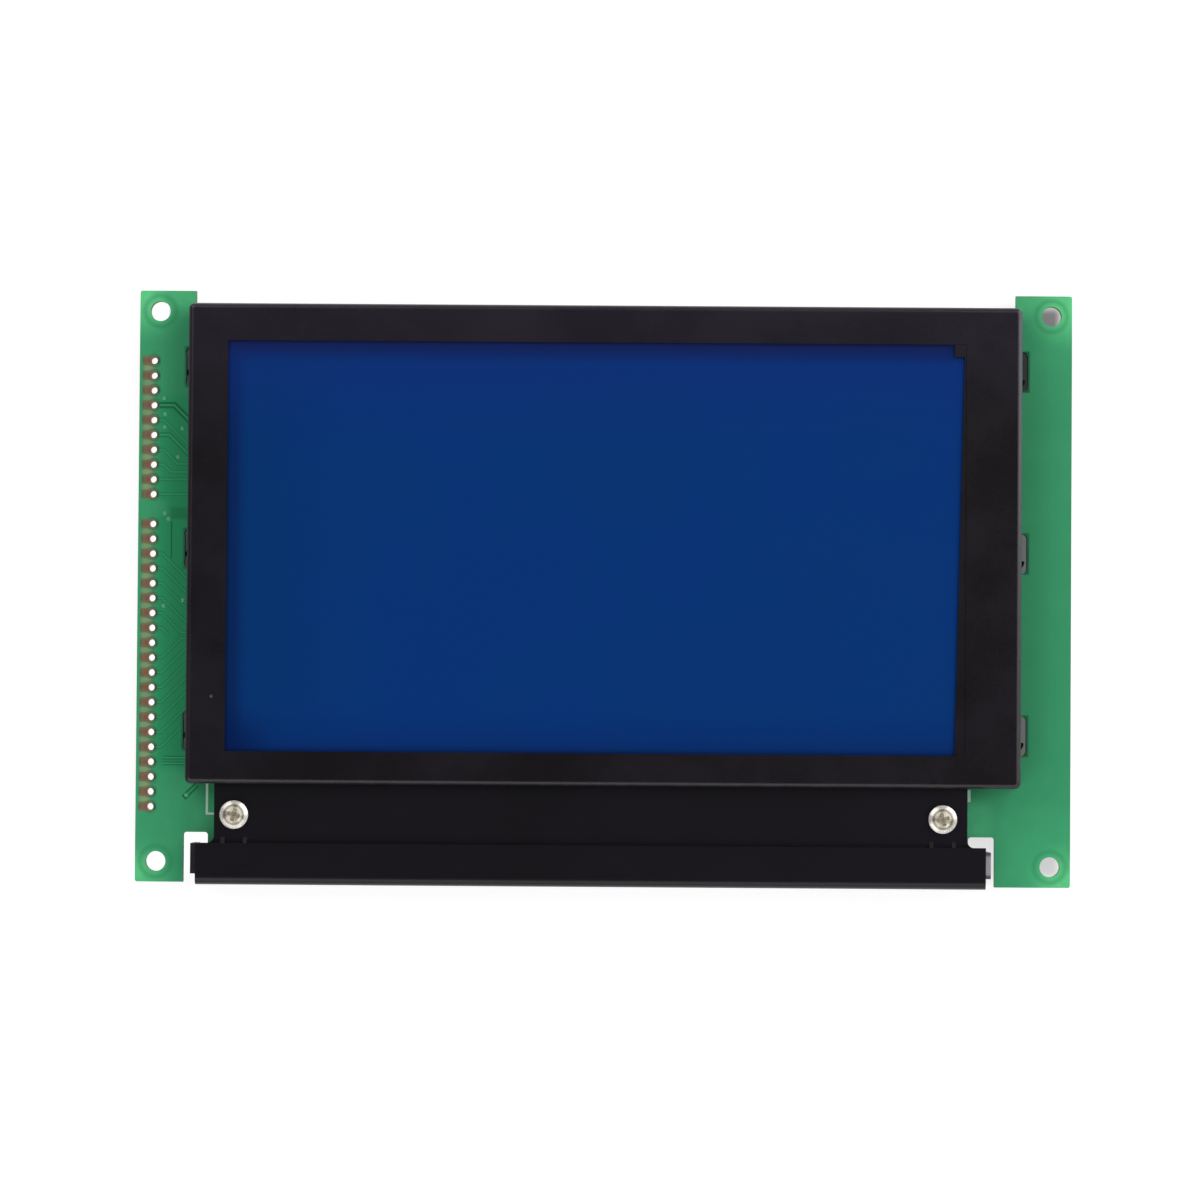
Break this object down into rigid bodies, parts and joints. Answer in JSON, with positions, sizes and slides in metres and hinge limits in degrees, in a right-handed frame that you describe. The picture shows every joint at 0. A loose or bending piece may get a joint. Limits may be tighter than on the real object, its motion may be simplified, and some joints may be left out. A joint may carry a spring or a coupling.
{
  "type": "lcd panel",
  "caption": "Flat graphic display module: a blue window in a folded black bezel on a green circuit board, with a header hole row at one side and a screwed lamp cover below.",
  "frame": {"origin": "centre of the four mounting holes, on the circuit board's rear face", "axes": "+X to the right along the board's long side as the display is read, +Y to the display's top, +Z out of the display; the module lies on its back"},
  "size_m": [0.1594, 0.1012, 0.0119],
  "materials": {
    "board_green": "green solder mask, satin",
    "pad_copper": "bare copper pads",
    "bezel_black": "satin black paint on sheet steel",
    "mask_black": "black film, satin",
    "display_blue": "deep blue polarizer, smooth",
    "clear_glass": "clear soda-lime glass",
    "polarizer_dark": "dark film",
    "diffuser_white": "white diffusing film",
    "guide_clear": "clear acrylic",
    "reflector_white": "white reflecting film",
    "frame_white": "white moulding",
    "connector_rubber": "layered silicone rubber",
    "lamp_black": "black moulding, fine texture",
    "holder_grey": "dark grey moulding",
    "led_board_white": "white-coated strip board",
    "led_yellow": "phosphor-filled lamp",
    "tinned": "tinned wire",
    "screw_nickel": "nickel-plated steel",
    "package_black": "black epoxy package",
    "dome_black": "glossy cast epoxy",
    "capacitor_tan": "tan ceramic",
    "resistor_black": "black glaze"
  },
  "bodies": {
    "root": {"circuit_board": "board_green", "header_pads": "pad_copper", "bezel": "bezel_black", "mask_film": "mask_black", "front_polarizer": "display_blue", "front_glass": "clear_glass", "rear_glass": "clear_glass", "rear_polarizer": "polarizer_dark", "diffuser_sheet": "diffuser_white", "light_guide": "guide_clear", "reflector_sheet": "reflector_white", "panel_frame": "frame_white", "column_connector": "connector_rubber", "row_connector": "connector_rubber", "lamp_cover": "lamp_black", "lamp_holder": "holder_grey", "led_board": "led_board_white", "led_chips": "led_yellow", "feed_pins": "tinned", "cover_screws": "screw_nickel", "cover_nuts": "screw_nickel", "controller": "package_black", "controller_leads": "tinned", "display_memory": "package_black", "memory_leads": "tinned", "bias_amplifier": "package_black", "amplifier_leads": "tinned", "column_driver_1": "dome_black", "column_driver_2": "dome_black", "column_driver_3": "dome_black", "row_driver_1": "dome_black", "row_driver_2": "dome_black", "chip_capacitors": "capacitor_tan", "chip_resistors": "resistor_black"}
  },
  "joints": []
}
